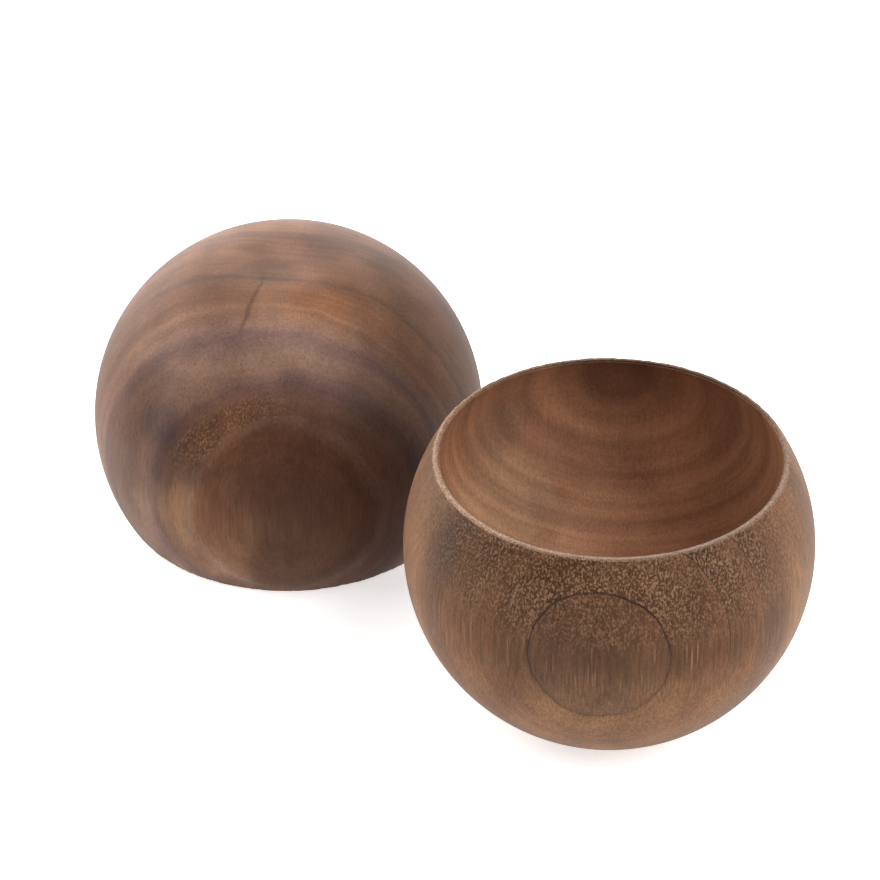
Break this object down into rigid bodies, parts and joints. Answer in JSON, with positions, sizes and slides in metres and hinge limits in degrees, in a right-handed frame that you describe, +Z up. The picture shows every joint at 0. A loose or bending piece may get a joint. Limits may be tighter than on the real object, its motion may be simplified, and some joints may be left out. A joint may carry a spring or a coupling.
{
  "type": "go stone bowl",
  "caption": "Ball-shaped turned walnut bowl for go stones, with a wide thin-rimmed mouth and a small flat foot, and its matching bowl turned over beside it.",
  "frame": {"origin": "centre of the upright bowl's flat foot, on the plane that both bowls stand on", "axes": "+Z up along the upright bowl's axis, out of its mouth; -Y towards the viewer of the picture; the turned-over bowl stands towards -X and +Y"},
  "size_m": [0.198, 0.2055, 0.0795],
  "materials": {
    "upright_bowl_walnut": "fine-sanded and lightly oiled, matte",
    "turned_over_bowl_walnut": "fine-sanded and lightly oiled, matte"
  },
  "bodies": {
    "upright_bowl": {"upright_bowl": "upright_bowl_walnut"},
    "turned_over_bowl": {"turned_over_bowl": "turned_over_bowl_walnut"}
  },
  "joints": [
    {"name": "turned_over_bowl_lift", "type": "slide", "parent": "upright_bowl", "child": "turned_over_bowl", "axis": [0, 0, 1], "range_m": [0, 0.1]}
  ]
}
